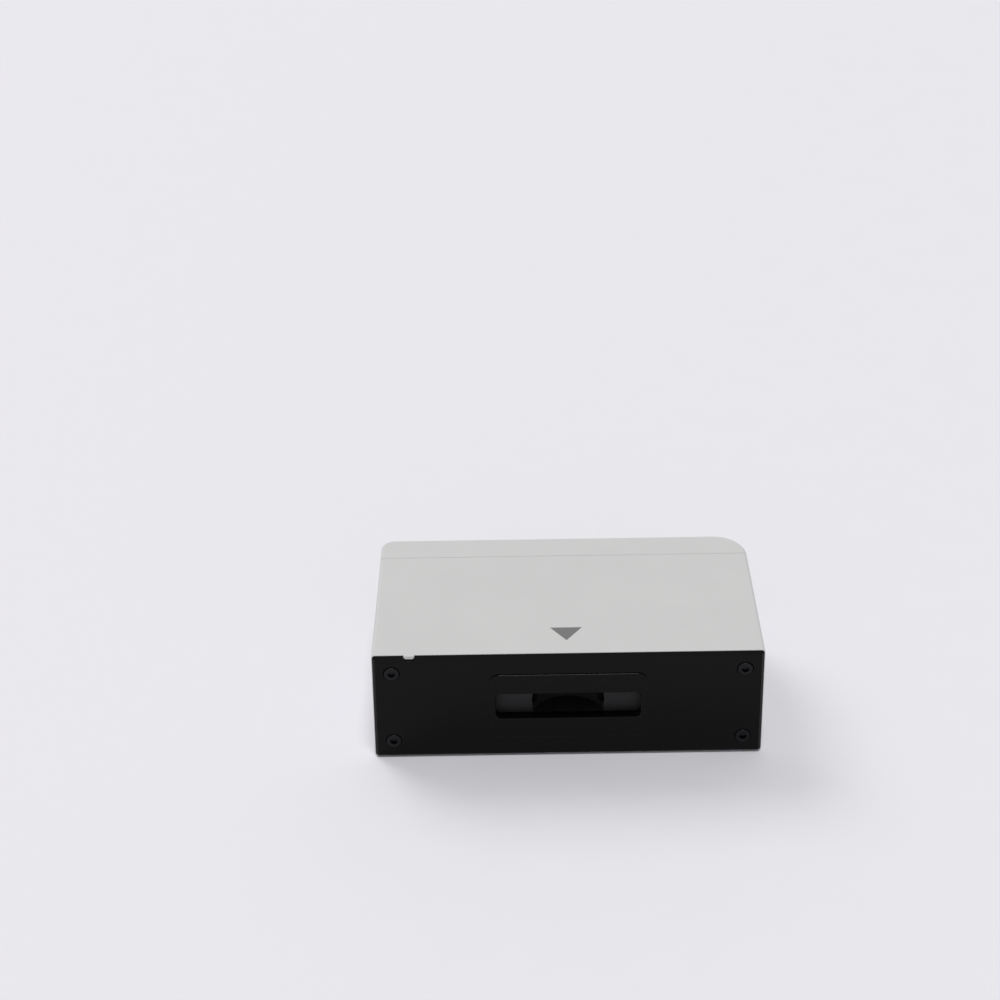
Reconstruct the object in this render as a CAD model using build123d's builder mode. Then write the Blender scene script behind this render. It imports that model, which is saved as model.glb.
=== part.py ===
"""A hand-held three-angle gloss meter, lying on its back face as it is stored in its case.

X runs along the meter, Y from the measuring face (-Y) up to the keys (+Y), and Z up through its
thickness. The origin is the middle of the bounding box, on the surface that the meter lies on.
Sizes are in millimetres.
"""

from build123d import *
from collections import namedtuple
from math import cos, radians, sin, tan
import os

# Housing: a moulded sleeve with a head cap on top and a black base plate below
base_length = 140.0
meter_height = 75.0
thickness = 45.0
end_taper = 1.8
wall = 2.4
edge_radius = 1.2
seat_gap = 0.15
head_band = 12.0
small_corner = 5.0
large_corner = 12.0
seam_chamfer = 0.25
sleeve_rim_radius = 0.3
lip_depth = 3.0
lip_wall = 1.3
lip_overlap = 2.0

# Base plate and its raised measuring foot
flange_thickness = 1.1
flange_inset = 0.25
flange_chamfer = 0.9
spigot_depth = 2.5
foot_corner = 3.3
foot_stand = 0.5
foot_rim_radius = 0.25
foot_end_rim = 2.2
foot_side_rim = 8.4
aperture_length = 52.0
aperture_width = 11.0
aperture_corner = 2.0
aperture_chamfer = 0.3
trough_floor = 1.1
trough_gap = 0.1
trough_side_gap = 0.3
trough_end_gap = 0.6
lug_from_end = 13.4
lug_width = 3.8
lug_drop = 1.4
lug_corner = 0.9
lug_setback = 0.25
lug_tip_radius = 0.4
notch_gap = 0.15
notch_drop = 2.0
notch_corner = 1.2
notch_rim_radius = 0.2

# Long screws that clamp the plate, the sleeve and the cap together
tie_from_end = 7.0
tie_edge = 7.5
tie_radius = 1.5
tie_hole_radius = 1.7
tie_head_radius = 2.7
tie_head_height = 1.6
tie_counterbore_radius = 2.9
tie_counterbore_depth = 2.1
tie_rim_radius = 0.25
tie_boss_radius = 3.3
tie_boss_rise = 4.5
tie_end_gap = 0.2
thread_gap = 0.05
tie_boss_cover = 1.0
socket_radius = 1.45
socket_depth = 1.0

# Optical head: a hub with six tubes that all aim at the middle of the aperture.
# Shoulders and tube ends are distances from that spot, along each tube's axis.
hub_radius = 20.0
chamber_radius = 13.5
bore_start = 6.0
tube_radius = 6.0
tube_bore_radius = 4.0
tube_clear_radius = 3.0
steep_shoulder = 22.0
steep_tube_end = 46.0
slanted_shoulder = 28.0
slanted_tube_end = 58.0
grazing_tube_radius = 3.0
grazing_bore_radius = 2.2
grazing_clear_radius = 1.5
grazing_tube_from_end = 5.2
grazing_tube_length = 15.8
grazing_bore_depth = 14.8
head_flange_thickness = 2.5
head_flange_margin = 5.0
head_flange_side = 3.0
head_tongue_width = 14.0
head_corner = 3.0
head_screw_x = 41.0
head_screw_offset = 11.5
small_screw_radius = 1.2
small_hole_radius = 1.35
small_head_radius = 2.2
small_head_height = 1.4
plate_thread_depth = 2.2

# Optical pieces inside each tube
piece_gap = 0.05
lens_edge = 1.2
lens_bulge = 0.9
slit_tube_wall = 0.75
slit_wall = 0.6
slit_length_share = 0.55
slit_width = 0.7
holder_depth = 5.0
holder_rim = 1.2
emitter_radius = 1.5
emitter_rim_radius = 1.9
emitter_rim = 0.8
emitter_gap = 0.05
led_length = 4.6
detector_length = 3.0
nose_radius = 1.2

# Display side: control panel, window, display and keys
key_stand = 0.6
panel_end_margin = 3.0
panel_side_margin = 5.0
panel_corner = 3.0
panel_depth = 1.0
window_from_panel_end = 7.2
window_from_keys = 15.5
window_width = 25.0
window_corner = 1.5
window_step = 0.1
window_gap = 0.1
window_ledge = 2.0
display_rim = 1.5
display_glass_thickness = 2.0
backlight_thickness = 1.2
display_gap = 0.1
key_names = ["power", "angle", "calibrate", "measure"]
key_from_panel_end = 7.2
key_pitch_x = 16.0
key_pitch_z = 15.0
key_length = 11.0
key_width = 8.0
key_corner = 2.0
key_round = 0.5
key_dish_radius = 36.0
key_dish_depth = 0.15
key_gap = 0.25
key_rim = 1.2
key_rim_thickness = 0.8
key_rim_gap = 0.1
key_travel = 0.5
switch_side = 6.2
switch_height = 1.6
switch_floor = 0.2
plunger_radius = 1.5
plunger_gap = 0.15
plunger_clearance = 0.1

# Boards, battery and connectors
board_thickness = 1.6
display_board_end_gap = 0.3
display_board_side_gap = 1.9
board_tongue_reach = 4.2
board_tongue_width = 18.0
board_corner = 1.0
left_screw_inset = 2.1
right_screw_inset = 5.4
middle_screw_inset = 3.7
middle_screw_from_window = 7.0
board_boss_radius = 2.2
board_screw_radius = 1.0
board_screw_depth = 2.0
board_head_radius = 1.9
board_head_height = 1.3
usb_width = 7.5
usb_height = 2.8
usb_depth = 5.6
usb_wall = 0.35
usb_recess = 0.9
usb_hole_gap = 0.35
usb_tongue_width = 4.4
usb_tongue_height = 0.7
usb_tongue_reach = 3.4
lip_notch_width = 12.0
main_board_length = 92.0
main_board_width = 40.4
main_board_foot_gap = 0.5
main_board_cover_gap = 0.9
hub_board_gap = 3.4
post_radius = 3.0
post_sink = 1.3
steep_post_distance = 40.0
slanted_post_distance = 41.6
controller_side = 12.0
controller_x = -8.0
controller_y = -12.0
controller_height = 1.4
converter_length = 9.0
converter_depth = 7.0
converter_x = 22.0
converter_y = -6.0
amplifier_length = 6.0
amplifier_depth = 5.0
amplifier_height = 1.6
first_amplifier_x = -28.0
first_amplifier_y = -4.0
second_amplifier_x = 14.0
second_amplifier_y = -24.0
battery_length = 60.0
battery_height = 42.0
battery_thickness = 6.0
battery_foot_gap = 3.9
battery_round = 2.0
pad_thickness = 0.5
pad_margin = 4.0
ribbon_width = 12.0
ribbon_thickness = 0.3
ribbon_bend = 4.0
connector_length = 15.0
connector_depth = 3.2
connector_height = 2.2
connector_screw_gap = 0.6
lead_from_battery_end = 10.0
lead_radius = 0.9
lead_bend = 3.0

# Locating mark that is printed over the middle of the aperture
mark_x = -0.4
mark_width = 11.5
mark_height = 7.8
mark_tip = 7.5
mark_depth = 0.15

# Levels and places that the pieces share
middle = thickness / 2
foot_face = -meter_height / 2
plate_face = foot_face + foot_stand
sleeve_end = plate_face + flange_thickness
plate_inner = sleeve_end + spigot_depth
cap_top = meter_height / 2 - key_stand
seam = cap_top - head_band
cap_ceiling = cap_top - wall
panel_seat = cap_top - panel_depth
backlight_level = cap_ceiling - display_gap - display_glass_thickness - backlight_thickness
display_board_bottom = backlight_level - board_thickness
lip_inset = wall + seat_gap
lip_inner_inset = lip_inset + lip_wall
tie_x = base_length / 2 - tie_from_end
tie_places = [(x, z) for x in (-tie_x, tie_x) for z in (tie_edge, thickness - tie_edge)]
lug_x = lug_from_end - base_length / 2
main_board_top = thickness - wall - main_board_cover_gap - connector_height
main_board_level = main_board_top - board_thickness
hub_width = 2 * (main_board_level - hub_board_gap - middle)
head_seat = plate_inner + head_flange_thickness


def half_length(y):
    """Half the housing's length at height y. Both ends lean in towards the keys."""
    return base_length / 2 - (y - sleeve_end) * tan(radians(end_taper))


# Panel layout, from the panel's two ends inwards: window at the left, keys at the right
panel_left = small_corner + panel_end_margin - half_length(cap_top)
panel_right = half_length(cap_top) - large_corner - panel_end_margin
panel_x = (panel_left + panel_right) / 2
panel_size = (panel_right - panel_left, thickness - 2 * panel_side_margin)
key_x = panel_right - key_from_panel_end - key_length / 2 - key_pitch_x / 2
key_places = [
    (key_x + dx * key_pitch_x / 2, middle + dz * key_pitch_z / 2)
    for dx in (-1, 1)
    for dz in (1, -1)
]
window_left = panel_left + window_from_panel_end
window_right = key_x - key_pitch_x / 2 - key_length / 2 - window_from_keys
window_x = (window_left + window_right) / 2
window_length = window_right - window_left
display_size = (window_length + 2 * display_rim, window_width + 2 * display_rim)
display_board_length = 2 * (tie_x - tie_boss_radius - display_board_end_gap)
display_board_width = thickness - 2 * wall - 2 * display_board_side_gap
middle_screw_x = window_right + middle_screw_from_window
middle_screw_offset = display_board_width / 2 - middle_screw_inset
board_screw_places = [
    (left_screw_inset - display_board_length / 2, middle),
    (middle_screw_x, middle - middle_screw_offset),
    (middle_screw_x, middle + middle_screw_offset),
    (display_board_length / 2 - right_screw_inset, middle),
]
ribbon_x = middle_screw_x - board_head_radius - connector_screw_gap - connector_length / 2
lead_x = lead_from_battery_end - battery_length / 2

# Light paths: the tubes of the lamps lean to -X, and those of the detectors to +X
Channel = namedtuple("Channel", "angle tube_radius bore_radius clear_radius start shoulder end")
grazing_end = base_length / 2 - grazing_tube_from_end
channels = [
    Channel(
        20,
        tube_radius,
        tube_bore_radius,
        tube_clear_radius,
        chamber_radius,
        steep_shoulder,
        steep_tube_end,
    ),
    Channel(
        60,
        tube_radius,
        tube_bore_radius,
        tube_clear_radius,
        chamber_radius,
        slanted_shoulder,
        slanted_tube_end,
    ),
    Channel(
        85,
        grazing_tube_radius,
        grazing_bore_radius,
        grazing_clear_radius,
        grazing_end - grazing_tube_length,
        grazing_end - grazing_bore_depth,
        grazing_end,
    ),
]
steep, slanted, grazing = channels
sides = {"source": -1, "receiver": 1}


def housing_corners(low, high, inset):
    """Corners of the housing's outline from low to high along Y, with its ends set in by inset."""
    return [
        (-half_length(low) + inset, low),
        (half_length(low) - inset, low),
        (half_length(high) - inset, high),
        (-half_length(high) + inset, high),
    ]


def level(y):
    """Sketch plane across the meter at height y: X along it, Y up its thickness, facing -Y."""
    return Plane.XZ.offset(-y)


def beam(channel, side):
    """Plane at the measuring spot that faces out along one channel's light path."""
    lean = radians(channel.angle)
    return Plane(
        origin=(0, foot_face, middle),
        x_dir=(0, 0, 1),
        z_dir=(side * sin(lean), cos(lean), 0),
    )


def beam_point(channel, side, distance):
    """Point on a channel's axis at a distance from the measuring spot, in X and Y."""
    lean = radians(channel.angle)
    return (side * distance * sin(lean), foot_face + distance * cos(lean))


def save(piece, name):
    """Labels a finished piece and writes it as parts/name.step."""
    piece.part.label = name
    export_step(piece.part, f"parts/{name}.step")


os.makedirs("parts", exist_ok=True)

# Sleeve: the pale outer body, open at both ends, with a lug that keys into the base plate
with BuildPart() as body_sleeve:
    with BuildSketch(Plane.XY):
        Polygon(*housing_corners(sleeve_end, seam, 0), align=None)
    extrude(amount=thickness)
    long_edges = body_sleeve.edges().filter_by(lambda e: abs(e.tangent_at(0.5).Y) > 0.9)
    fillet(long_edges, edge_radius)
    with BuildSketch(Plane.XY.offset(wall)):
        Polygon(*housing_corners(sleeve_end, seam, wall), align=None)
    extrude(amount=thickness - 2 * wall, mode=Mode.SUBTRACT)
    seam_edges = body_sleeve.faces().sort_by(Axis.Y)[-1].outer_wire().edges()
    chamfer(seam_edges, seam_chamfer)
    front_rim = body_sleeve.faces().sort_by(Axis.Y)[0].outer_wire().edges()
    fillet(front_rim, sleeve_rim_radius)
    with BuildSketch(level(plate_face + lug_setback)):
        with Locations((lug_x, thickness)):
            RectangleRounded(lug_width, 2 * lug_drop, lug_corner)
            Rectangle(
                lug_width, lug_drop, align=(Align.CENTER, Align.MIN), mode=Mode.SUBTRACT
            )
    extrude(amount=-(flange_thickness - lug_setback + wall / 2))
    lug_tip = body_sleeve.faces().sort_by(Axis.Y)[0]
    fillet(lug_tip.edges().sort_by(Axis.Z)[:-1], lug_tip_radius)
    # Shallow pocket that the locating mark fills
    with BuildSketch(Plane.XY.offset(thickness)) as mark_outline:
        with Locations((mark_x, sleeve_end + mark_tip)):
            Polygon(
                (0, 0),
                (mark_width / 2, mark_height),
                (-mark_width / 2, mark_height),
                align=None,
            )
    extrude(amount=-mark_depth, mode=Mode.SUBTRACT)
save(body_sleeve, "body_sleeve")

# Locating mark: a filled triangle that points at the measuring spot
with BuildPart() as centre_mark:
    extrude(mark_outline.sketch, amount=-mark_depth)
save(centre_mark, "centre_mark")


def cap_outline(low, inset):
    """Side outline of the head cap above low, with its two unlike top corners."""
    with BuildSketch(Plane.XY) as outline:
        corners = housing_corners(low, cap_top - inset, inset)
        Polygon(*corners, align=None)
        fillet(outline.vertices().group_by(Axis.Y)[-1].sort_by(Axis.X)[0], small_corner - inset)
        fillet(outline.vertices().group_by(Axis.Y)[-1].sort_by(Axis.X)[-1], large_corner - inset)
    return outline.sketch


def across(inset):
    """Opening across the housing at the seam, inside its walls by inset."""
    return (2 * (half_length(seam) - inset), thickness - 2 * inset)


# Head cap: the pale top that carries the control panel, the display board and the screw bosses
with BuildPart() as head_cap:
    extrude(cap_outline(seam, 0), amount=thickness)
    broad_faces = head_cap.faces().filter_by(Axis.Z)
    rim_edges = broad_faces.edges().filter_by(lambda e: e.center().Y > seam + seam_chamfer)
    fillet(rim_edges, edge_radius)
    extrude(
        Plane.XY.offset(wall) * cap_outline(seam, wall),
        amount=thickness - 2 * wall,
        mode=Mode.SUBTRACT,
    )
    seam_edges = head_cap.faces().sort_by(Axis.Y)[0].outer_wire().edges()
    chamfer(seam_edges, seam_chamfer)
    # Lip that enters the sleeve, with a collar that joins it to the cap's walls
    with BuildSketch(level(seam)):
        with Locations((0, middle)):
            Rectangle(*across(wall - lip_wall / 2))
            Rectangle(*across(lip_inner_inset), mode=Mode.SUBTRACT)
    extrude(amount=-lip_overlap)
    with BuildSketch(level(seam - lip_depth)):
        with Locations((0, middle)):
            Rectangle(*across(lip_inset))
            Rectangle(*across(lip_inner_inset), mode=Mode.SUBTRACT)
    extrude(amount=-lip_depth)
    # Bosses for the tie screws and for the display board
    with BuildSketch(level(seam - lip_depth)):
        with Locations(*tie_places):
            Circle(tie_boss_radius)
        with Locations((0, middle)):
            Rectangle(*across(lip_inset), mode=Mode.INTERSECT)
    extrude(amount=-(lip_depth + tie_boss_rise))
    with BuildSketch(level(seam - lip_depth)):
        with Locations(*tie_places):
            Circle(tie_radius + thread_gap)
    extrude(amount=-(lip_depth + tie_boss_rise - tie_boss_cover), mode=Mode.SUBTRACT)
    with BuildSketch(level(backlight_level)):
        with Locations(*board_screw_places):
            Circle(board_boss_radius)
    extrude(amount=-(cap_ceiling - backlight_level))
    with BuildSketch(level(backlight_level)):
        with Locations(*board_screw_places):
            Circle(board_screw_radius + thread_gap)
    extrude(amount=-(board_screw_depth + thread_gap), mode=Mode.SUBTRACT)
    # Recess for the control panel, view opening and key holes
    with BuildSketch(level(panel_seat)):
        with Locations((panel_x, middle)):
            RectangleRounded(
                panel_size[0] + 2 * seat_gap, panel_size[1] + 2 * seat_gap, panel_corner + seat_gap
            )
    extrude(amount=-panel_depth, mode=Mode.SUBTRACT)
    with BuildSketch(level(cap_ceiling)):
        with Locations((window_x, middle)):
            RectangleRounded(
                window_length - 2 * window_ledge, window_width - 2 * window_ledge, window_corner
            )
        with Locations(*key_places):
            RectangleRounded(
                key_length + 2 * key_gap, key_width + 2 * key_gap, key_corner + key_gap
            )
    extrude(amount=-wall, mode=Mode.SUBTRACT)
    # Socket hole in the end wall and the gap in the lip that lets the socket pass
    with BuildSketch(Plane.YZ.offset(-half_length(sleeve_end))):
        with Locations((display_board_bottom - usb_height / 2, middle)):
            RectangleRounded(
                usb_height + 2 * usb_hole_gap, usb_width + 2 * usb_hole_gap, usb_height / 3
            )
    extrude(amount=half_length(sleeve_end) - half_length(seam) + 2 * wall, mode=Mode.SUBTRACT)
    with BuildSketch(level(seam - lip_depth)):
        with Locations((-half_length(seam) + lip_inset, middle)):
            Rectangle(2 * lip_wall + seat_gap, lip_notch_width)
    extrude(amount=-lip_depth, mode=Mode.SUBTRACT)
save(head_cap, "head_cap")

# Base plate: a chamfered black cover with a spigot, a raised foot and the measuring aperture
with BuildPart() as base_plate:
    with BuildSketch(level(plate_face)):
        with Locations((0, middle)):
            RectangleRounded(
                base_length - 2 * flange_inset, thickness - 2 * flange_inset, edge_radius
            )
    extrude(amount=-flange_thickness)
    front_edges = base_plate.faces().sort_by(Axis.Y)[0].edges()
    chamfer(front_edges, flange_chamfer)
    with BuildSketch(level(sleeve_end)):
        with Locations((0, middle)):
            RectangleRounded(
                base_length - 2 * lip_inset, thickness - 2 * lip_inset, edge_radius
            )
    extrude(amount=-spigot_depth)
    with BuildSketch(level(foot_face)):
        with Locations((0, middle)):
            RectangleRounded(
                aperture_length + 2 * foot_end_rim,
                aperture_width + 2 * foot_side_rim,
                foot_corner,
            )
    extrude(amount=-foot_stand)
    fillet(base_plate.faces().sort_by(Axis.Y)[0].edges(), foot_rim_radius)
    with BuildSketch(level(foot_face)):
        with Locations((0, middle)):
            RectangleRounded(aperture_length, aperture_width, aperture_corner)
    extrude(amount=-(plate_inner - foot_face), mode=Mode.SUBTRACT)
    aperture_rim = base_plate.faces().sort_by(Axis.Y)[0].inner_wires()
    chamfer(aperture_rim.edges(), aperture_chamfer)
    # Troughs inside the plate that let the grazing light path and its tubes through
    trough_width = 2 * (grazing.tube_radius + trough_side_gap)
    slope = tan(radians(90 - grazing.angle))
    drop = (grazing.tube_radius + trough_gap) / cos(radians(90 - grazing.angle))
    rise_x = (trough_floor + drop) / slope
    trough_end = beam_point(grazing, 1, grazing.end + holder_rim)[0] + trough_end_gap
    for side in (-1, 1):
        with BuildSketch(Plane.XY.offset(middle - trough_width / 2)):
            Polygon(
                (side * (aperture_length / 2 - aperture_corner), foot_face + trough_floor),
                (side * rise_x, foot_face + trough_floor),
                (side * trough_end, foot_face + slope * trough_end - drop),
                (side * trough_end, plate_inner),
                (side * (aperture_length / 2 - aperture_corner), plate_inner),
                align=None,
            )
        extrude(amount=trough_width, mode=Mode.SUBTRACT)
    # Counterbored holes for the tie screws, and blind threads for the optical head
    with Locations(level(plate_face)):
        with Locations(*tie_places):
            CounterBoreHole(tie_hole_radius, tie_counterbore_radius, tie_counterbore_depth)
    screw_rims = [
        edge
        for edge in base_plate.edges().filter_by(GeomType.CIRCLE)
        if edge.radius == tie_counterbore_radius and abs(edge.arc_center.Y - plate_face) < seat_gap
    ]
    fillet(screw_rims, tie_rim_radius)
    with BuildSketch(level(plate_inner - plate_thread_depth)):
        with Locations((0, middle)):
            with GridLocations(2 * head_screw_x, 2 * head_screw_offset, 2, 2):
                Circle(small_screw_radius + thread_gap)
    extrude(amount=-plate_thread_depth, mode=Mode.SUBTRACT)
    # Rounded notch round the sleeve's lug
    with BuildSketch(level(plate_face)):
        with Locations((lug_x, thickness)):
            RectangleRounded(lug_width + 2 * notch_gap, 2 * notch_drop, notch_corner)
    extrude(amount=-flange_thickness, mode=Mode.SUBTRACT)
    notch_rim = [
        edge
        for edge in base_plate.edges()
        if abs(edge.center().X - lug_x) < lug_width / 2 + notch_gap + seat_gap
        and edge.center().Z > thickness - notch_drop - seat_gap
        and edge.center().Y < plate_face + seat_gap
    ]
    fillet(notch_rim, notch_rim_radius)
save(base_plate, "base_plate")

# Tie screws: four long screws from the base plate up into the head cap
with BuildPart() as tie_screws:
    tie_seat = plate_face + tie_counterbore_depth
    with BuildSketch(level(tie_seat - tie_head_height)):
        with Locations(*tie_places):
            Circle(tie_head_radius)
    extrude(amount=-tie_head_height)
    with BuildSketch(level(tie_seat)):
        with Locations(*tie_places):
            Circle(tie_radius)
    extrude(amount=-(seam + tie_boss_rise - tie_boss_cover - tie_end_gap - tie_seat))
    with BuildSketch(level(tie_seat - tie_head_height)):
        with Locations(*tie_places):
            RegularPolygon(socket_radius, 6)
    extrude(amount=-socket_depth, mode=Mode.SUBTRACT)
save(tie_screws, "tie_screws")

# Optical head: one casting with a measuring chamber and a tube for each light path
with BuildPart() as optical_head:
    with BuildSketch(Plane.XY.offset(middle - hub_width / 2)):
        with Locations((0, foot_face)):
            Circle(hub_radius)
    extrude(amount=hub_width)
    for channel in channels:
        for side in sides.values():
            with BuildSketch(beam(channel, side).offset(channel.start)):
                Circle(channel.tube_radius)
            extrude(amount=channel.end - channel.start)
    # Flat underside between the grazing tubes, and the flange that sits on the base plate
    with BuildSketch(level(plate_inner)):
        with Locations((0, middle)):
            Rectangle(4 * hub_radius, hub_width)
    extrude(amount=2 * hub_radius, mode=Mode.SUBTRACT)
    with BuildSketch(level(plate_inner)):
        with Locations((0, middle)):
            RectangleRounded(
                2 * (head_screw_x + head_flange_margin),
                2 * (head_screw_offset + head_flange_side),
                head_corner,
            )
            RectangleRounded(2 * tie_x, head_tongue_width, head_corner)
    extrude(amount=-head_flange_thickness)
    # Posts that hold the main board beside the tubes
    post_places = [
        beam_point(channel, side, distance)
        for channel, distance in ((steep, steep_post_distance), (slanted, slanted_post_distance))
        for side in sides.values()
    ]
    post_start = middle + tube_radius - post_sink
    with BuildSketch(Plane.XY.offset(post_start)):
        with Locations(*post_places):
            Circle(post_radius)
    extrude(amount=main_board_level - post_start)
    with BuildSketch(Plane.XY.offset(main_board_level)):
        with Locations(*post_places):
            Circle(board_screw_radius + thread_gap)
    extrude(amount=-(main_board_level - post_start - post_sink), mode=Mode.SUBTRACT)
    # Light paths: a clear bore from the chamber, then a wider bore that seats the optics
    with BuildSketch(Plane.XY.offset(middle - aperture_width / 2)):
        with Locations((0, foot_face)):
            Circle(chamber_radius)
    extrude(amount=aperture_width, mode=Mode.SUBTRACT)
    for channel in channels:
        for side in sides.values():
            with BuildSketch(beam(channel, side).offset(bore_start)):
                Circle(channel.clear_radius)
            extrude(amount=channel.shoulder - bore_start, mode=Mode.SUBTRACT)
            with BuildSketch(beam(channel, side).offset(channel.shoulder)):
                Circle(channel.bore_radius)
            extrude(amount=channel.end - channel.shoulder, mode=Mode.SUBTRACT)
    with BuildSketch(level(plate_inner)):
        with Locations((0, middle)):
            with GridLocations(2 * head_screw_x, 2 * head_screw_offset, 2, 2):
                Circle(small_hole_radius)
    extrude(amount=-head_flange_thickness, mode=Mode.SUBTRACT)
save(optical_head, "optical_head")

# Screws that hold the optical head down on the base plate
with BuildPart() as optical_head_screws:
    with BuildSketch(level(head_seat)):
        with Locations((0, middle)):
            with GridLocations(2 * head_screw_x, 2 * head_screw_offset, 2, 2):
                Circle(small_head_radius)
    extrude(amount=-small_head_height)
    with BuildSketch(level(plate_inner - plate_thread_depth + tie_end_gap)):
        with Locations((0, middle)):
            with GridLocations(2 * head_screw_x, 2 * head_screw_offset, 2, 2):
                Circle(small_screw_radius)
    extrude(amount=-(head_flange_thickness + plate_thread_depth - tie_end_gap))
save(optical_head_screws, "optical_head_screws")


def lens(channel, side):
    """Plano-convex lens against the shoulder of a tube, with its flat side to the chamber."""
    axis = beam(channel, side)
    radius = channel.bore_radius - piece_gap
    with BuildPart() as piece:
        with BuildSketch(Plane(axis.origin, x_dir=axis.z_dir, z_dir=(0, 0, 1))):
            with BuildLine():
                Polyline(
                    (channel.shoulder + lens_edge, radius),
                    (channel.shoulder, radius),
                    (channel.shoulder, 0),
                    (channel.shoulder + lens_edge + lens_bulge, 0),
                )
                ThreePointArc(
                    (channel.shoulder + lens_edge + lens_bulge, 0),
                    (channel.shoulder + lens_edge + 0.76 * lens_bulge, radius / 2),
                    (channel.shoulder + lens_edge, radius),
                )
            make_face()
        revolve(axis=Axis(axis.origin, axis.z_dir))
    return piece


def slit_tube(channel, side):
    """Spacer tube behind a lens, closed at its far end by a wall with the slit in it."""
    axis = beam(channel, side)
    start = channel.shoulder + lens_edge + lens_bulge
    end = channel.end - holder_depth
    radius = channel.bore_radius - piece_gap
    with BuildPart() as piece:
        with BuildSketch(axis.offset(start)):
            Circle(radius)
        extrude(amount=end - start)
        with BuildSketch(axis.offset(start)):
            Circle(radius - slit_tube_wall)
        extrude(amount=end - start - slit_wall, mode=Mode.SUBTRACT)
        with BuildSketch(axis.offset(end - slit_wall)):
            Rectangle(2 * radius * slit_length_share, slit_width)
        extrude(amount=slit_wall, mode=Mode.SUBTRACT)
    return piece


def holder(channel, side):
    """Plug in the end of a tube that holds the lamp or the detector."""
    axis = beam(channel, side)
    with BuildPart() as piece:
        with BuildSketch(axis.offset(channel.end - holder_depth)):
            Circle(channel.bore_radius - piece_gap)
        extrude(amount=holder_depth)
        with BuildSketch(axis.offset(channel.end)):
            Circle(channel.tube_radius)
        extrude(amount=holder_rim)
        with BuildSketch(axis.offset(channel.end - holder_depth)):
            Circle(emitter_radius + emitter_gap)
        extrude(amount=holder_depth + holder_rim, mode=Mode.SUBTRACT)
        with BuildSketch(axis.offset(channel.end + holder_rim - emitter_rim)):
            Circle(emitter_rim_radius + emitter_gap)
        extrude(amount=emitter_rim, mode=Mode.SUBTRACT)
    return piece


def light_part(channel, side, length, nose):
    """Lamp or detector: a rimmed body whose nose is rounded by nose."""
    axis = beam(channel, side)
    rim_start = channel.end + holder_rim - emitter_rim
    with BuildPart() as piece:
        with BuildSketch(axis.offset(rim_start)):
            Circle(emitter_rim_radius)
        extrude(amount=emitter_rim)
        with BuildSketch(axis.offset(rim_start - length)):
            Circle(emitter_radius)
        extrude(amount=length)
        tip = piece.faces().sort_by(Axis(axis.origin, axis.z_dir))[0]
        if nose > 0:
            fillet(tip.edges(), nose)
    return piece


# Optical pieces, one set for each of the six tubes
for channel in channels:
    for role, side in sides.items():
        save(lens(channel, side), f"{role}_lens_{channel.angle}")
        save(slit_tube(channel, side), f"{role}_slit_{channel.angle}")
        save(holder(channel, side), f"{role}_holder_{channel.angle}")
    save(light_part(channel, sides["source"], led_length, nose_radius), f"lamp_{channel.angle}")
    save(light_part(channel, sides["receiver"], detector_length, 0), f"detector_{channel.angle}")

# Control panel: the dark plate let into the top of the cap
with BuildPart() as control_panel:
    with BuildSketch(level(panel_seat)):
        with Locations((panel_x, middle)):
            RectangleRounded(*panel_size, panel_corner)
        with Locations((window_x, middle)):
            RectangleRounded(window_length, window_width, window_corner, mode=Mode.SUBTRACT)
        with Locations(*key_places):
            RectangleRounded(
                key_length + 2 * key_gap,
                key_width + 2 * key_gap,
                key_corner + key_gap,
                mode=Mode.SUBTRACT,
            )
    extrude(amount=-panel_depth)
save(control_panel, "control_panel")

# Display window: a clear plate in the panel's opening, on the cap's ledge
with BuildPart() as display_window:
    with BuildSketch(level(panel_seat)):
        with Locations((window_x, middle)):
            RectangleRounded(
                window_length - 2 * window_gap, window_width - 2 * window_gap, window_corner
            )
    extrude(amount=-(panel_depth - window_step))
save(display_window, "display_window")

# Display: glass on a backlight, both on the display board
with BuildPart() as display_glass:
    with BuildSketch(level(backlight_level + backlight_thickness)):
        with Locations((window_x, middle)):
            Rectangle(*display_size)
    extrude(amount=-display_glass_thickness)
save(display_glass, "display_glass")

with BuildPart() as backlight:
    with BuildSketch(level(backlight_level)):
        with Locations((window_x, middle)):
            Rectangle(*display_size)
    extrude(amount=-backlight_thickness)
save(backlight, "backlight")

# Display board: screwed under the cap, with a tongue that carries the socket
with BuildPart() as display_board:
    with BuildSketch(level(display_board_bottom)):
        with Locations((0, middle)):
            RectangleRounded(display_board_length, display_board_width, board_corner)
        with Locations((-display_board_length / 2, middle)):
            Rectangle(2 * board_tongue_reach, board_tongue_width)
        with Locations(*board_screw_places):
            Circle(board_screw_radius + piece_gap, mode=Mode.SUBTRACT)
    extrude(amount=-board_thickness)
save(display_board, "display_board")

with BuildPart() as display_board_screws:
    with BuildSketch(level(display_board_bottom - board_head_height)):
        with Locations(*board_screw_places):
            Circle(board_head_radius)
    extrude(amount=-board_head_height)
    with BuildSketch(level(display_board_bottom)):
        with Locations(*board_screw_places):
            Circle(board_screw_radius)
    extrude(amount=-(board_thickness + board_screw_depth))
save(display_board_screws, "display_board_screws")

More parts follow.
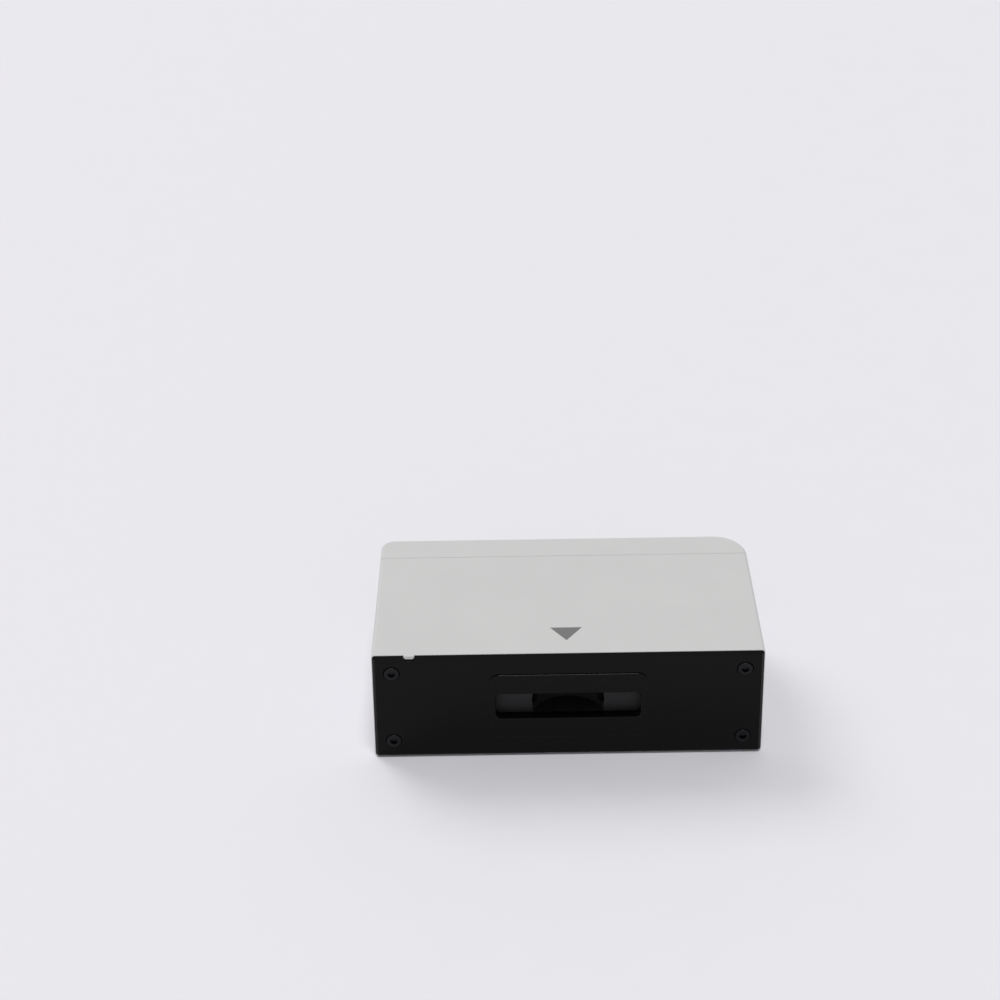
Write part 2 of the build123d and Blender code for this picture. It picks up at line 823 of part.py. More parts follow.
# Keys: each cap stands on the plunger of a switch on the display board
key_top = cap_top + key_stand
rim_top = cap_ceiling - key_rim_gap
rim_bottom = rim_top - key_rim_thickness
switch_top = backlight_level + switch_height
plunger_bottom = backlight_level + switch_floor + plunger_clearance + key_travel
for name, place in zip(key_names, key_places):
    with BuildPart() as key:
        with BuildSketch(level(rim_bottom)):
            with Locations(place):
                RectangleRounded(key_length + 2 * key_rim, key_width + 2 * key_rim, key_corner)
        extrude(amount=-key_rim_thickness)
        with BuildSketch(level(rim_top)):
            with Locations(place):
                RectangleRounded(key_length, key_width, key_corner)
        extrude(amount=-(key_top - rim_top))
        fillet(key.faces().sort_by(Axis.Y)[-1].edges(), key_round)
        # Finger dish
        with Locations((place[0], key_top + key_dish_radius - key_dish_depth, place[1])):
            Sphere(key_dish_radius, mode=Mode.SUBTRACT)
    save(key, f"key_{name}")

    with BuildPart() as plunger:
        with BuildSketch(level(plunger_bottom)):
            with Locations(place):
                Circle(plunger_radius)
        extrude(amount=-(rim_bottom - plunger_bottom))
    save(plunger, f"plunger_{name}")

    with BuildPart() as switch:
        with BuildSketch(level(backlight_level)):
            with Locations(place):
                Rectangle(switch_side, switch_side)
        extrude(amount=-switch_height)
        with BuildSketch(level(backlight_level + switch_floor)):
            with Locations(place):
                Circle(plunger_radius + plunger_gap)
        extrude(amount=-(switch_height - switch_floor), mode=Mode.SUBTRACT)
    save(switch, f"switch_{name}")

# Charging and data socket: a folded metal shell with a contact tongue, under the board's tongue
socket_level = display_board_bottom - usb_height / 2
socket_mouth = -half_length(socket_level) + usb_recess
with BuildPart() as usb_socket:
    with BuildSketch(Plane.YZ.offset(socket_mouth)):
        with Locations((socket_level, middle)):
            RectangleRounded(usb_height, usb_width, usb_height / 5)
    extrude(amount=usb_depth)
    with BuildSketch(Plane.YZ.offset(socket_mouth)):
        with Locations((socket_level, middle)):
            RectangleRounded(usb_height - 2 * usb_wall, usb_width - 2 * usb_wall, usb_height / 8)
    extrude(amount=usb_depth - usb_wall, mode=Mode.SUBTRACT)
    with BuildSketch(Plane.YZ.offset(socket_mouth + usb_depth - usb_tongue_reach)):
        with Locations((socket_level, middle)):
            Rectangle(usb_tongue_height, usb_tongue_width)
    extrude(amount=usb_tongue_reach - usb_wall / 2)
save(usb_socket, "usb_socket")

# Main board: on the optical head's posts, with its chips and the ribbon's connector
board_edge = head_seat + main_board_foot_gap + main_board_width
with BuildPart() as main_board:
    with BuildSketch(Plane.XY.offset(main_board_level)):
        with Locations((0, board_edge)):
            Rectangle(main_board_length, main_board_width, align=(Align.CENTER, Align.MAX))
        with Locations(*post_places):
            Circle(board_screw_radius + piece_gap, mode=Mode.SUBTRACT)
    extrude(amount=board_thickness)
save(main_board, "main_board")

with BuildPart() as main_board_screws:
    with BuildSketch(Plane.XY.offset(main_board_top)):
        with Locations(*post_places):
            Circle(board_head_radius)
    extrude(amount=board_head_height)
    with BuildSketch(Plane.XY.offset(main_board_top)):
        with Locations(*post_places):
            Circle(board_screw_radius)
    extrude(amount=-(board_thickness + hub_board_gap))
save(main_board_screws, "main_board_screws")

# Chips: controller, converter, two amplifiers and the ribbon's connector
with BuildPart() as board_chips:
    with BuildSketch(Plane.XY.offset(main_board_top)):
        with Locations((controller_x, controller_y)):
            Rectangle(controller_side, controller_side)
    extrude(amount=controller_height)
    with BuildSketch(Plane.XY.offset(main_board_top)):
        with Locations((converter_x, converter_y)):
            Rectangle(converter_length, converter_depth)
        with Locations(
            (first_amplifier_x, first_amplifier_y), (second_amplifier_x, second_amplifier_y)
        ):
            Rectangle(amplifier_length, amplifier_depth)
    extrude(amount=amplifier_height)
    with BuildSketch(Plane.XY.offset(main_board_top)):
        with Locations((ribbon_x, board_edge - connector_depth)):
            Rectangle(connector_length, connector_depth)
    extrude(amount=connector_height)
save(board_chips, "board_chips")

# Connectors under the display board, for the ribbon and for the battery lead
ribbon_low = main_board_top + connector_height / 2
ribbon_high = middle + display_board_width / 2 - connector_height
lead_connector_z = middle - display_board_width / 2 + connector_height
with BuildPart() as display_board_connectors:
    with BuildSketch(level(display_board_bottom - connector_height)):
        with Locations((ribbon_x, ribbon_high)):
            Rectangle(connector_length, connector_depth)
        with Locations((lead_x, lead_connector_z)):
            Rectangle(2 * connector_depth, connector_depth)
    extrude(amount=-connector_height)
save(display_board_connectors, "display_board_connectors")

# Ribbon cable from the main board up to the display board
ribbon_start = board_edge - connector_depth / 2
ribbon_end = display_board_bottom - connector_height
with BuildPart() as display_ribbon:
    with BuildSketch(Plane.YZ.offset(ribbon_x - ribbon_width / 2)):
        with BuildLine() as ribbon_path:
            FilletPolyline(
                (ribbon_start, ribbon_low),
                (ribbon_start + (ribbon_end - ribbon_start) / 3, ribbon_low),
                (ribbon_start + (ribbon_end - ribbon_start) * 2 / 3, ribbon_high),
                (ribbon_end, ribbon_high),
                radius=ribbon_bend,
            )
        trace(line_width=ribbon_thickness)
    extrude(amount=ribbon_width)
save(display_ribbon, "display_ribbon")

# Battery: a flat cell stuck to the sleeve's back wall with a foam pad
pad_top = wall + pad_thickness
battery_y = head_seat + battery_foot_gap + battery_height / 2
with BuildPart() as battery_pad:
    with BuildSketch(Plane.XY.offset(wall)):
        with Locations((0, battery_y)):
            Rectangle(battery_length - 2 * pad_margin, battery_height - 2 * pad_margin)
    extrude(amount=pad_thickness)
save(battery_pad, "battery_pad")

with BuildPart() as battery:
    with BuildSketch(Plane.XY.offset(pad_top)):
        with Locations((0, battery_y)):
            Rectangle(battery_length, battery_height)
    extrude(amount=battery_thickness)
    fillet(battery.edges().filter_by(Axis.X), battery_round)
save(battery, "battery")

# Battery lead: a flat two-core lead up to the display board
battery_top = battery_y + battery_height / 2
lead_low = pad_top + battery_thickness / 2
lead_end = display_board_bottom - connector_height
with BuildPart() as battery_lead:
    with BuildLine():
        FilletPolyline(
            (lead_x, battery_top, lead_low),
            (lead_x, battery_top + (lead_end - battery_top) / 3, lead_low),
            (lead_x, battery_top + (lead_end - battery_top) * 2 / 3, lead_connector_z),
            (lead_x, lead_end, lead_connector_z),
            radius=lead_bend,
        )
    with BuildSketch(level(battery_top)):
        with Locations((lead_x, lead_low)):
            SlotOverall(4 * lead_radius, 2 * lead_radius)
    sweep()
save(battery_lead, "battery_lead")
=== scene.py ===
"""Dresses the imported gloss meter: finishes, screws, printed marks, display and light.

Lengths are in metres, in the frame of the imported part: X runs along the meter, Y from the
measuring face up to the keys, and Z up from the broad face that it lies on.
"""

import math

import bpy
from mathutils import Matrix, Vector


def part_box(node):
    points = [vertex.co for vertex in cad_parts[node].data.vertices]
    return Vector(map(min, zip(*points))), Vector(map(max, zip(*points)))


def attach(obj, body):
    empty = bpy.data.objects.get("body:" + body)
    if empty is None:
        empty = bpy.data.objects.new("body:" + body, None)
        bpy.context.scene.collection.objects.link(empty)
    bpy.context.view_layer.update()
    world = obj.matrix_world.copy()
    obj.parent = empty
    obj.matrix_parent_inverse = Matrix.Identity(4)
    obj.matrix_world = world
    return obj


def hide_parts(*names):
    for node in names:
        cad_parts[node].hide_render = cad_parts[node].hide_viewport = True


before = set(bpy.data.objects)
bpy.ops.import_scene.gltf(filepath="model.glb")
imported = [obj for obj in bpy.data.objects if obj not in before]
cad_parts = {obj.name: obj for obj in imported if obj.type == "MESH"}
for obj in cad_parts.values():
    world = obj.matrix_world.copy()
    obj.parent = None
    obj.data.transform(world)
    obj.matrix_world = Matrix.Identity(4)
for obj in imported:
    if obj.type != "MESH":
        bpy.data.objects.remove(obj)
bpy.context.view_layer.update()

# Camera
# It looks down on the measuring face from the front, through a long lens.
mm = 0.001
camera_place = Vector((-24.93 * mm, -883.96 * mm, 668.25 * mm))
camera_pitch = math.radians(33.345)
camera_yaw = math.radians(0.1)
camera_roll = math.radians(0.8127)

bpy.ops.object.camera_add(location=camera_place)
camera = bpy.context.object
camera.name = "camera"
camera.data.lens = 106.695
camera.data.sensor_width = 36
camera.rotation_euler = (
    Matrix.Rotation(-camera_yaw, 4, "Z")
    @ Matrix.Rotation(math.pi / 2 - camera_pitch, 4, "X")
    @ Matrix.Rotation(-camera_roll, 4, "Z")
).to_euler()
bpy.context.scene.camera = camera
bpy.context.scene.view_settings.view_transform = "Standard"

# Light
# A soft lamp overhead, a wider one behind it and an even sky. Together they light a face
# that looks up at the level at which its colour renders as written.
lamps = {
    "overhead_lamp": (Vector((0.05, -0.20, 0.98)), 1.22, math.radians(14)),
    "back_lamp": (Vector((-0.45, 0.55, 0.70)), 0.90, math.radians(30)),
}
sky_strength = 0.42
backdrop_color = (0.80, 0.79, 0.83)

for name, (direction, strength, width) in lamps.items():
    bpy.ops.object.light_add(type="SUN", location=direction)
    lamp = bpy.context.object
    lamp.name = name
    lamp.data.energy = strength
    lamp.data.angle = width
    lamp.rotation_euler = (-direction).to_track_quat("-Z", "Y").to_euler()

world = bpy.data.worlds.new("sky")
bpy.context.scene.world = world
world.use_nodes = True
sky = world.node_tree
sky_light = sky.nodes["Background"]
sky_light.inputs["Color"].default_value = (1, 1, 1, 1)
sky_light.inputs["Strength"].default_value = sky_strength
sky_seen = sky.nodes.new("ShaderNodeBackground")
sky_seen.inputs["Color"].default_value = (*backdrop_color, 1)
rays = sky.nodes.new("ShaderNodeLightPath")
seen = rays.outputs["Is Camera Ray"]
for kind in ("Is Glossy Ray", "Is Transmission Ray"):
    either = sky.nodes.new("ShaderNodeMath")
    either.operation = "MAXIMUM"
    sky.links.new(seen, either.inputs[0])
    sky.links.new(rays.outputs[kind], either.inputs[1])
    seen = either.outputs[0]
choice = sky.nodes.new("ShaderNodeMixShader")
sky.links.new(seen, choice.inputs["Fac"])
sky.links.new(sky_light.outputs["Background"], choice.inputs[1])
sky.links.new(sky_seen.outputs["Background"], choice.inputs[2])
sky.links.new(choice.outputs["Shader"], sky.nodes["World Output"].inputs["Surface"])


# Floor
# A wide pale sheet under the meter, with a faint unevenness of tone. Its finish is the first
# of many that are made here from soft patches of tone and gloss and a fine grain in relief.
def start_material(name, constants):
    """A new node material, its tree and its shader, with constants set on the shader."""
    material = bpy.data.materials.new(name)
    material.use_nodes = True
    shader = material.node_tree.nodes["Principled BSDF"]
    for socket, value in constants.items():
        shader.inputs[socket].default_value = value
    return material, material.node_tree, shader


def texture(tree, kind, scale, stretch=(1, 1, 1), **inputs):
    """A texture with that many repeats per metre, times its stretch along each axis."""
    coordinates = tree.nodes.new("ShaderNodeTexCoord")
    mapping = tree.nodes.new("ShaderNodeMapping")
    mapping.inputs["Scale"].default_value = [scale * s for s in stretch]
    tree.links.new(coordinates.outputs["Object"], mapping.inputs["Vector"])
    made = tree.nodes.new(f"ShaderNodeTex{kind}")
    tree.links.new(mapping.outputs["Vector"], made.inputs["Vector"])
    made.inputs["Scale"].default_value = 1
    for socket, value in inputs.items():
        made.inputs[socket].default_value = value
    return made


def spread(tree, source, low, high, to_low, to_high):
    """The source's stretch from low to high, laid out from to_low to to_high."""
    made = tree.nodes.new("ShaderNodeMapRange")
    limits = {"From Min": low, "From Max": high, "To Min": to_low, "To Max": to_high}
    for socket, value in limits.items():
        made.inputs[socket].default_value = value
    tree.links.new(source, made.inputs["Value"])
    return made.outputs["Result"]


def mix(tree, factor, first, second):
    """A colour between two, each either written out or the output of another node."""
    made = tree.nodes.new("ShaderNodeMix")
    made.data_type = "RGBA"
    tree.links.new(factor, made.inputs["Factor"])
    for socket, color in zip((made.inputs[6], made.inputs[7]), (first, second)):
        if isinstance(color, bpy.types.NodeSocket):
            tree.links.new(color, socket)
        else:
            socket.default_value = (*color, 1)
    return made.outputs[2]


def relief(tree, shader, height, depth):
    """Gives the surface a relief of that depth, in looks alone."""
    made = tree.nodes.new("ShaderNodeBump")
    made.inputs["Distance"].default_value = depth
    tree.links.new(height, made.inputs["Height"])
    tree.links.new(made.outputs["Normal"], shader.inputs["Normal"])


def toned(color, factor):
    return tuple(value * factor for value in color)


def solid_finish(name, color, roughness, shade=0.03, grain=2500, depth=2e-6, constants=None):
    """A finish with soft patches of tone and gloss, and a fine grain."""
    material, tree, shader = start_material(name, constants or {})
    patches = texture(tree, "Noise", 60, Detail=3).outputs["Fac"]
    share = spread(tree, patches, 0.3, 0.7, 0, 1)
    color_now = mix(tree, share, toned(color, 1 - shade), toned(color, 1 + shade))
    tree.links.new(color_now, shader.inputs["Base Color"])
    gloss = spread(tree, patches, 0.3, 0.7, roughness * 0.92, roughness * 1.08)
    tree.links.new(gloss, shader.inputs["Roughness"])
    relief(tree, shader, texture(tree, "Noise", grain, Detail=2).outputs["Fac"], depth)
    return material


bpy.ops.mesh.primitive_plane_add(size=12, location=(0, 0, -0.05 * mm))
floor = bpy.context.object
floor.name = "floor"
floor.data.materials.append(solid_finish("pale_sheet", backdrop_color, 0.7, shade=0.004, grain=900))


# Sleeve and head cap
# The casing is two satin pale mouldings with a fine spark-eroded grain. The sleeve is open at
# both ends, and the cap's lip drops into it, so that a chamfered seam shows between them.
def dress(material, *names):
    """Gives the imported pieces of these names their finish."""
    for name in names:
        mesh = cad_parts[name].data
        mesh.materials.clear()
        mesh.materials.append(material)


casing = solid_finish(
    "satin_moulding", (0.583, 0.58, 0.576), 0.42, shade=0.01, grain=3200, depth=2.5e-6,
    constants={"Specular IOR Level": 0.4},
)
dress(casing, "body_sleeve", "head_cap")

# Centre mark
# A triangle in grey ink, printed into a shallow pocket of the sleeve. It points at the
# measured spot.
grey_ink = solid_finish("grey_ink", (0.152, 0.150, 0.148), 0.5, shade=0.04, grain=4000)
dress(grey_ink, "centre_mark")

# Control panel
# A dark overlay, let into the head cap and glued round the window and the keys.
overlay = solid_finish("dark_overlay", (0.035, 0.038, 0.042), 0.4, shade=0.04, grain=3500, depth=3e-6)
dress(overlay, "control_panel")

# Window
# A clear plate of hard-coated plastic that rests on the cap's ledge, over the display.
clear_plastic = solid_finish(
    "clear_plastic", (0.97, 0.98, 0.98), 0.03, shade=0.01, grain=400, depth=3e-7,
    constants={"Transmission Weight": 1.0, "IOR": 1.49},
)
dress(clear_plastic, "display_window")


# Border and angle numbers
# They are printed on the overlay in pale ink: a thin line round the window, and over each of
# the display's three columns the angle that it stands for.
def pick(*objects):
    """Selects these objects alone, the first of them active."""
    bpy.ops.object.select_all(action="DESELECT")
    for each in objects:
        each.select_set(True)
    bpy.context.view_layer.objects.active = objects[0]


def shape(obj, kind, **settings):
    """Adds a modifier with these settings and applies it."""
    pick(obj)
    modifier = obj.modifiers.new(kind.lower(), kind)
    for setting, value in settings.items():
        setattr(modifier, setting, value)
    bpy.ops.object.modifier_apply(modifier=modifier.name)


def settle(obj, name, material, body):
    """Puts a finished piece's place into its mesh, dresses it and lets it ride on its body."""
    pick(obj)
    bpy.ops.object.transform_apply(location=True, rotation=True, scale=True)
    obj.name = name
    obj.data.materials.clear()
    obj.data.materials.append(material)
    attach(obj, body)


pale_ink = solid_finish("pale_ink", (0.62, 0.63, 0.62), 0.5, shade=0.03, grain=4000)
ink_thickness = 0.02 * mm
border_gap = 1.0 * mm
border_width = 0.35 * mm
border_corner = 2.4 * mm
number_size = 3.6 * mm
facing_up_panel = Matrix.Rotation(-math.pi / 2, 4, "X")
panel_low, panel_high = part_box("control_panel")
window_low, window_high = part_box("display_window")
window_middle = (window_low + window_high) / 2
border_reach = 2 * (border_gap + border_width)

bpy.ops.mesh.primitive_plane_add(size=1)
border = bpy.context.object
border.scale = (
    window_high.x - window_low.x + border_reach, window_high.z - window_low.z + border_reach, 1
)
bpy.ops.object.transform_apply(location=False, rotation=False, scale=True)
bpy.ops.object.mode_set(mode="EDIT")
bpy.ops.mesh.bevel(offset=border_corner, segments=6, affect="VERTICES")
bpy.ops.mesh.select_all(action="SELECT")
bpy.ops.mesh.inset(thickness=border_width)
bpy.ops.mesh.delete(type="FACE")
bpy.ops.object.mode_set(mode="OBJECT")
shape(border, "SOLIDIFY", thickness=ink_thickness, offset=1)
border.matrix_world = (
    Matrix.Translation((window_middle.x, panel_high.y, window_middle.z)) @ facing_up_panel
)
settle(border, "window_border", pale_ink, "housing")

angles = ("20", "60", "85")
column_pitch = (window_high.x - window_low.x) / len(angles)
column_middles = [window_low.x + (column + 0.5) * column_pitch for column in range(len(angles))]
for angle, across in zip(angles, column_middles):
    bpy.ops.object.text_add()
    number = bpy.context.object
    number.data.body = f"{angle}°"
    number.data.size = number_size
    number.data.align_x = "CENTER"
    number.data.align_y = "CENTER"
    pick(number)
    bpy.ops.object.convert(target="MESH")
    number = bpy.context.object
    shape(number, "WELD", merge_threshold=0.002 * mm)
    shape(number, "SOLIDIFY", thickness=ink_thickness, offset=1)
    above_window = (panel_low.z + window_low.z - border_gap) / 2
    number.matrix_world = Matrix.Translation((across, panel_high.y, above_window)) @ facing_up_panel
    settle(number, f"angle_number_{angle}", pale_ink, "housing")

# Display glass and backlight
# The glass is a dark liquid-crystal cell, clamped under the window. The white light guide
# lies below it, on the display board.
cell = solid_finish(
    "display_cell", (0.050, 0.060, 0.057), 0.12, shade=0.04, grain=800, depth=2e-7,
    constants={"Specular IOR Level": 0.4},
)
dress(cell, "display_glass")
dress(solid_finish("white_light_guide", (0.82, 0.83, 0.81), 0.35, shade=0.02), "backlight")

# Figures
# The cell's unlit figures, just visible on the glass: for each angle three digits of seven
# segments with a point. One segment is modelled, and copied into a digit and then into rows.
segment_step = 3.3 * mm
segment_width = 0.68 * mm
segment_gap = 0.12 * mm
digit_pitch = 4.6 * mm
point_drop = 0.6 * mm
unlit = solid_finish("unlit_segments", (0.086, 0.100, 0.094), 0.3, shade=0.04)
glass_low, glass_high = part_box("display_glass")


def copy_to(obj, across, up, turned=False):
    """A copy of a flat piece with its own mesh, moved and given a quarter turn if asked."""
    made = obj.copy()
    made.data = obj.data.copy()
    bpy.context.scene.collection.objects.link(made)
    made.location = (across, up, 0)
    made.rotation_euler = (0, 0, math.pi / 2 if turned else 0)
    return made


bpy.ops.mesh.primitive_plane_add(size=1)
segment = bpy.context.object
segment.scale = (segment_width, segment_step - 2 * segment_gap, 1)
bpy.ops.object.transform_apply(location=False, rotation=False, scale=True)
bpy.ops.object.mode_set(mode="EDIT")
bpy.ops.mesh.bevel(offset=segment_width * 0.49, segments=1, affect="VERTICES")
bpy.ops.object.mode_set(mode="OBJECT")
lying = [copy_to(segment, 0, row * segment_step, turned=True) for row in (-1, 0, 1)]
standing = [
    copy_to(segment, side * segment_step / 2, row * segment_step / 2) for side in (-1, 1) for row in (-1, 1)
]
pick(segment)
bpy.ops.object.delete()
bpy.ops.mesh.primitive_circle_add(vertices=12, radius=segment_width / 2, fill_type="NGON")
point = bpy.context.object
point.location = (digit_pitch / 2, -segment_step - point_drop, 0)
pick(*lying, *standing, point)
bpy.ops.object.join()
bpy.ops.object.transform_apply(location=True, rotation=True, scale=True)
digit = bpy.context.object
row = [
    copy_to(digit, middle + place * digit_pitch, 0) for middle in column_middles for place in (-1, 0, 1)
]
pick(digit)
bpy.ops.object.delete()
pick(*row)
bpy.ops.object.join()
bpy.ops.object.transform_apply(location=True, rotation=True, scale=True)
figures = bpy.context.object
shape(figures, "SOLIDIFY", thickness=ink_thickness, offset=1)
figures.matrix_world = Matrix.Translation((0, glass_high.y, window_middle.z)) @ facing_up_panel
settle(figures, "display_figures", unlit, "housing")

# Keys
# Four buttons of grey silicone rubber, dished for the finger. Each sits on a nylon plunger
# that presses a switch with a click dome on the display board.
key_names = ("power", "angle", "calibrate", "measure")
key_rubber = solid_finish("key_rubber", (0.070, 0.072, 0.076), 0.55, shade=0.05, grain=2800, depth=4e-6)
natural_nylon = solid_finish("natural_nylon", (0.68, 0.67, 0.62), 0.45)
switch_black = solid_finish("switch_black", (0.03, 0.03, 0.03), 0.3, shade=0.08)
for name in key_names:
    dress(key_rubber, f"key_{name}")
    dress(natural_nylon, f"plunger_{name}")
    dress(switch_black, f"switch_{name}")

# Key signs
# Generic signs in pale ink, printed into the dishes: a ring with a bar for power, an angle,
# a target for calibration, and a dot in a ring for measuring.
sign_stroke = 0.42 * mm
sign_radius = 1.5 * mm


def ring(radius, width, open_degrees=0):
    """A flat ring about the origin, open at its top."""
    bpy.ops.mesh.primitive_circle_add(vertices=60, radius=radius + width / 2)
    made = bpy.context.object
    bpy.ops.object.mode_set(mode="EDIT")
    bpy.ops.mesh.extrude_edges_move()
    shrink = (radius - width / 2) / (radius + width / 2)
    bpy.ops.transform.resize(value=(shrink, shrink, shrink), center_override=(0, 0, 0))
    bpy.ops.mesh.select_all(action="SELECT")
    bpy.ops.mesh.normals_make_consistent(inside=False)
    bpy.ops.mesh.select_all(action="DESELECT")
    bpy.ops.mesh.select_mode(type="FACE")
    bpy.ops.object.mode_set(mode="OBJECT")
    for face in made.data.polygons:
        from_top = abs(math.degrees(math.atan2(face.center.x, face.center.y)))
        face.select = from_top < open_degrees / 2
    bpy.ops.object.mode_set(mode="EDIT")
    bpy.ops.mesh.delete(type="FACE")
    bpy.ops.mesh.select_mode(type="VERT")
    bpy.ops.object.mode_set(mode="OBJECT")
    return made


def stroke(length, across, up, degrees):
    """A flat straight stroke, turned clockwise from upright."""
    bpy.ops.mesh.primitive_grid_add(x_subdivisions=2, y_subdivisions=10, size=1)
    made = bpy.context.object
    made.scale = (sign_stroke, length, 1)
    bpy.ops.object.transform_apply(location=False, rotation=False, scale=True)
    made.rotation_euler = (0, 0, -math.radians(degrees))
    made.location = (across, up, 0)
    return made


def print_sign(name, *parts):
    """Joins the parts and prints them into the dish of their key."""
    key_low, key_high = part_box(f"key_{name}")
    middle = (key_low + key_high) / 2
    pick(*parts)
    bpy.ops.object.join()
    bpy.ops.object.transform_apply(location=True, rotation=True, scale=True)
    made = bpy.context.object
    made.matrix_world = Matrix.Translation((middle.x, key_high.y, middle.z)) @ facing_up_panel
    bpy.ops.object.transform_apply(location=True, rotation=True, scale=True)
    shape(
        made, "SHRINKWRAP", target=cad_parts[f"key_{name}"], wrap_method="PROJECT",
        use_project_y=True, use_negative_direction=True, use_positive_direction=False,
        offset=ink_thickness / 2,
    )
    shape(made, "SOLIDIFY", thickness=ink_thickness, offset=1)
    settle(made, f"sign_{name}", pale_ink, f"key_{name}")


dot = ring(0.25 * mm, 0.45 * mm)
print_sign("power", ring(sign_radius, sign_stroke, open_degrees=75), stroke(1.5 * mm, 0, 1.15 * mm, 0))
print_sign("angle", stroke(3.4 * mm, 0, -1.2 * mm, 90), stroke(3.3 * mm, -0.35 * mm, -0.1 * mm, 48))
print_sign("calibrate", ring(1.0 * mm, sign_stroke), stroke(3.8 * mm, 0, 0, 0), stroke(3.8 * mm, 0, 0, 90))
print_sign("measure", ring(sign_radius, sign_stroke), dot)

# Display board and charging socket
# A glass-fibre board with green solder mask, screwed under the cap's bosses. It carries the
# switches, nylon connectors and the socket's folded steel shell.
solder_mask, tree, shader = start_material("solder_mask", {"Specular IOR Level": 0.5})
tracks = texture(tree, "Brick", 220).outputs["Fac"]
blotches = texture(tree, "Noise", 90, Detail=3).outputs["Fac"]
green = mix(tree, spread(tree, blotches, 0.3, 0.7, 0, 1), (0.012, 0.09, 0.04), (0.016, 0.11, 0.05))
tree.links.new(mix(tree, tracks, green, (0.03, 0.17, 0.08)), shader.inputs["Base Color"])
tree.links.new(spread(tree, blotches, 0.3, 0.7, 0.28, 0.36), shader.inputs["Roughness"])
relief(tree, shader, tracks, 8e-6)
zinc_plate = solid_finish(
    "zinc_plate", (0.56, 0.57, 0.58), 0.3, shade=0.06, grain=5000, depth=1e-6,
    constants={"Metallic": 1.0},
)
dress(solder_mask, "display_board", "main_board")
dress(natural_nylon, "display_board_connectors")
dress(zinc_plate, "display_board_screws", "usb_socket")

# Main board
# It stands on the optical head's posts and carries the controller, the converter and the
# amplifiers, in black moulded packages.
dress(solid_finish("chip_black", (0.022, 0.022, 0.023), 0.45, shade=0.1), "board_chips")
dress(zinc_plate, "main_board_screws")

# Ribbon cable
# Amber film with copper strips inside, plugged into a connector on each board.
ribbon, tree, shader = start_material("amber_ribbon", {"Specular IOR Level": 0.5})
strips = texture(tree, "Wave", 900).outputs["Fac"]
tree.links.new(mix(tree, strips, (0.42, 0.16, 0.03), (0.60, 0.27, 0.06)), shader.inputs["Base Color"])
tree.links.new(spread(tree, strips, 0, 1, 0.3, 0.4), shader.inputs["Roughness"])
relief(tree, shader, strips, 1e-5)
dress(ribbon, "display_ribbon")

# Battery
# A foil pouch that lies on a foam pad, with a red insulated lead to the display board.
foil = solid_finish(
    "laminate_foil", (0.62, 0.63, 0.65), 0.32, shade=0.05, grain=500, depth=2e-5,
    constants={"Metallic": 0.9},
)
dress(foil, "battery")
dress(solid_finish("foam_pad", (0.03, 0.03, 0.033), 0.9, shade=0.2, grain=1800, depth=8e-5), "battery_pad")
dress(solid_finish("red_insulation", (0.36, 0.02, 0.015), 0.4, shade=0.06), "battery_lead")


# Optical head and slit tubes
# One casting with the measuring chamber and six aimed tubes, anodised black like the slit
# tubes that slide into its bores, and screwed down on the base plate.
def family(word):
    """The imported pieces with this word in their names."""
    return [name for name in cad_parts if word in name]


anodised = solid_finish(
    "black_anodised", (0.012, 0.012, 0.013), 0.55, shade=0.15, grain=2600, depth=6e-6,
    constants={"Metallic": 0.4},
)
dress(anodised, "optical_head", *family("_slit_"))
dress(zinc_plate, "optical_head_screws")

# Lenses
# Ground and polished glass discs, flat on one side and domed on the other. Each drops down
# its tube on to a shoulder, and the slit tube behind holds it there.
polished_glass = solid_finish(
    "polished_glass", (0.95, 0.97, 0.98), 0.03, shade=0.01, grain=1500, depth=2e-7,
    constants={"Transmission Weight": 1.0, "IOR": 1.52},
)
dress(polished_glass, *family("_lens_"))

# Lamps and detectors
# Clear epoxy lamps on the left and dark epoxy detectors on the right, each pressed into a
# black moulded holder that closes its tube.
clear_epoxy = solid_finish(
    "clear_epoxy", (0.93, 0.93, 0.86), 0.12, grain=1800, depth=1e-6,
    constants={"Transmission Weight": 0.6, "IOR": 1.5},
)
dress(clear_epoxy, *family("lamp_"))
dress(solid_finish("dark_epoxy", (0.05, 0.02, 0.025), 0.2, shade=0.1, grain=1800), *family("detector_"))
dress(solid_finish("black_moulding", (0.03, 0.03, 0.032), 0.5, shade=0.08), *family("_holder_"))

# Base plate
# A polished black moulding that closes the sleeve, with a raised foot round the aperture.
# Hairline scratches and a little dust show where it has stood on samples.
plate_color = (0.0016, 0.0017, 0.0018)
dust_color = (0.010, 0.010, 0.010)
polished_black, tree, shader = start_material("polished_black", {"Specular IOR Level": 0.12})
hairs = texture(tree, "Noise", 900, stretch=(0.04, 1, 1), Detail=6, Roughness=0.7).outputs["Fac"]
specks = texture(tree, "Voronoi", 700).outputs["Distance"]
dusty = mix(tree, spread(tree, specks, 0.05, 0.09, 1, 0), plate_color, dust_color)
scratched = mix(tree, spread(tree, hairs, 0.62, 0.7, 0, 1), dusty, toned(plate_color, 2))
tree.links.new(scratched, shader.inputs["Base Color"])
tree.links.new(spread(tree, hairs, 0.35, 0.7, 0.09, 0.16), shader.inputs["Roughness"])
relief(tree, shader, hairs, 3e-7)
dress(polished_black, "base_plate")

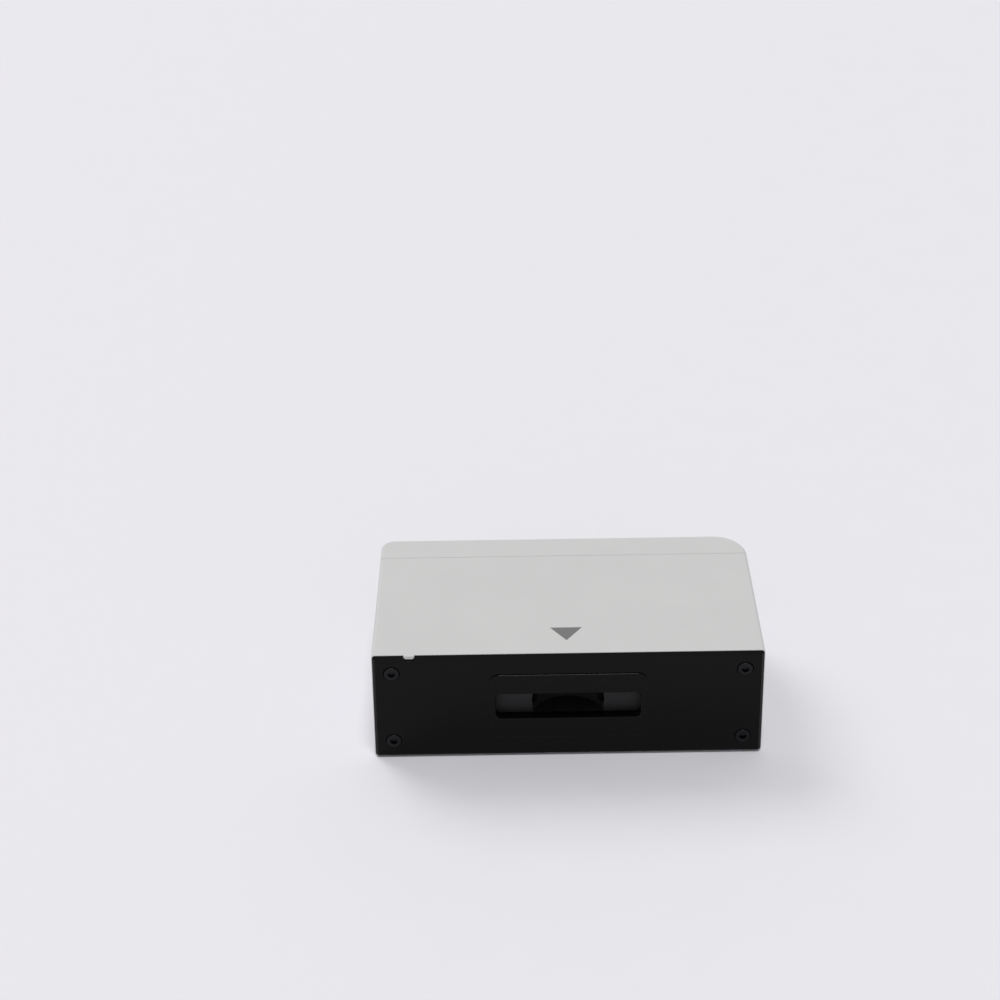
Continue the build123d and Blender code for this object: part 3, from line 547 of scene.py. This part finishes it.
# Tie screws
# Socket-head screws of blackened steel that clamp the plate, the sleeve and the cap together.
# Each has a bevelled head with a hexagonal socket, and threads where it bites into the cap.
head_radius = 2.7 * mm
head_height = 1.6 * mm
head_bevel = 0.25 * mm
shank_radius = 1.5 * mm
root_radius = 1.25 * mm
tip_bevel = 0.3 * mm
socket_radius = 1.45 * mm
socket_depth = 1.0 * mm
thread_pitch = 0.5 * mm
thread_turns = 16
facing_out = Matrix.Rotation(math.pi / 2, 4, "X")
blackened_steel = solid_finish(
    "blackened_steel", (0.020, 0.020, 0.022), 0.35, shade=0.15, grain=4000, depth=1.5e-6,
    constants={"Metallic": 1.0},
)
screws_low, screws_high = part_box("tie_screws")
screw_length = screws_high.y - screws_low.y
shank_length = screw_length - head_height

bpy.ops.mesh.primitive_cylinder_add(
    vertices=48, radius=head_radius, depth=head_height, location=(0, 0, -head_height / 2)
)
head = bpy.context.object
shape(head, "BEVEL", width=head_bevel, segments=3, angle_limit=math.radians(50))
bpy.ops.mesh.primitive_cylinder_add(vertices=6, radius=socket_radius, depth=2 * socket_depth)
socket = bpy.context.object
shape(head, "BOOLEAN", object=socket, operation="DIFFERENCE", solver="EXACT")
pick(socket)
bpy.ops.object.delete()
bpy.ops.mesh.primitive_cylinder_add(
    vertices=32, radius=root_radius, depth=shank_length, location=(0, 0, -head_height - shank_length / 2)
)
shank = bpy.context.object
shape(shank, "BEVEL", width=tip_bevel, segments=1, angle_limit=math.radians(50))
bpy.ops.mesh.primitive_circle_add(
    vertices=3, radius=shank_radius - root_radius, fill_type="NGON",
    location=(root_radius, 0, thread_pitch - screw_length), rotation=(math.pi / 2, math.pi / 2, 0),
)
thread = bpy.context.object
bpy.ops.object.transform_apply(location=True, rotation=True, scale=True)
shape(
    thread, "SCREW", screw_offset=thread_pitch, iterations=thread_turns, steps=24, render_steps=24,
    use_normal_calculate=True,
)
pick(head, shank, thread)
bpy.ops.object.join()
bpy.ops.object.shade_smooth_by_angle(angle=math.radians(30))
first_screw = bpy.context.object

screw_places = [
    (side * (screws_high.x - head_radius), height, turn)
    for side, height, turn in (
        (-1, screws_low.z + head_radius, 8),
        (1, screws_low.z + head_radius, 37),
        (-1, screws_high.z - head_radius, 21),
        (1, screws_high.z - head_radius, 50),
    )
]
for number, (across, height, turn) in enumerate(screw_places, 1):
    screw = copy_to(first_screw, 0, 0)
    place = Matrix.Translation((across, screws_low.y, height))
    screw.matrix_world = place @ facing_out @ Matrix.Rotation(math.radians(turn), 4, "Z")
    settle(screw, f"tie_screw_{number}", blackened_steel, "housing")
    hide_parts("tie_screws")
pick(first_screw)
bpy.ops.object.delete()
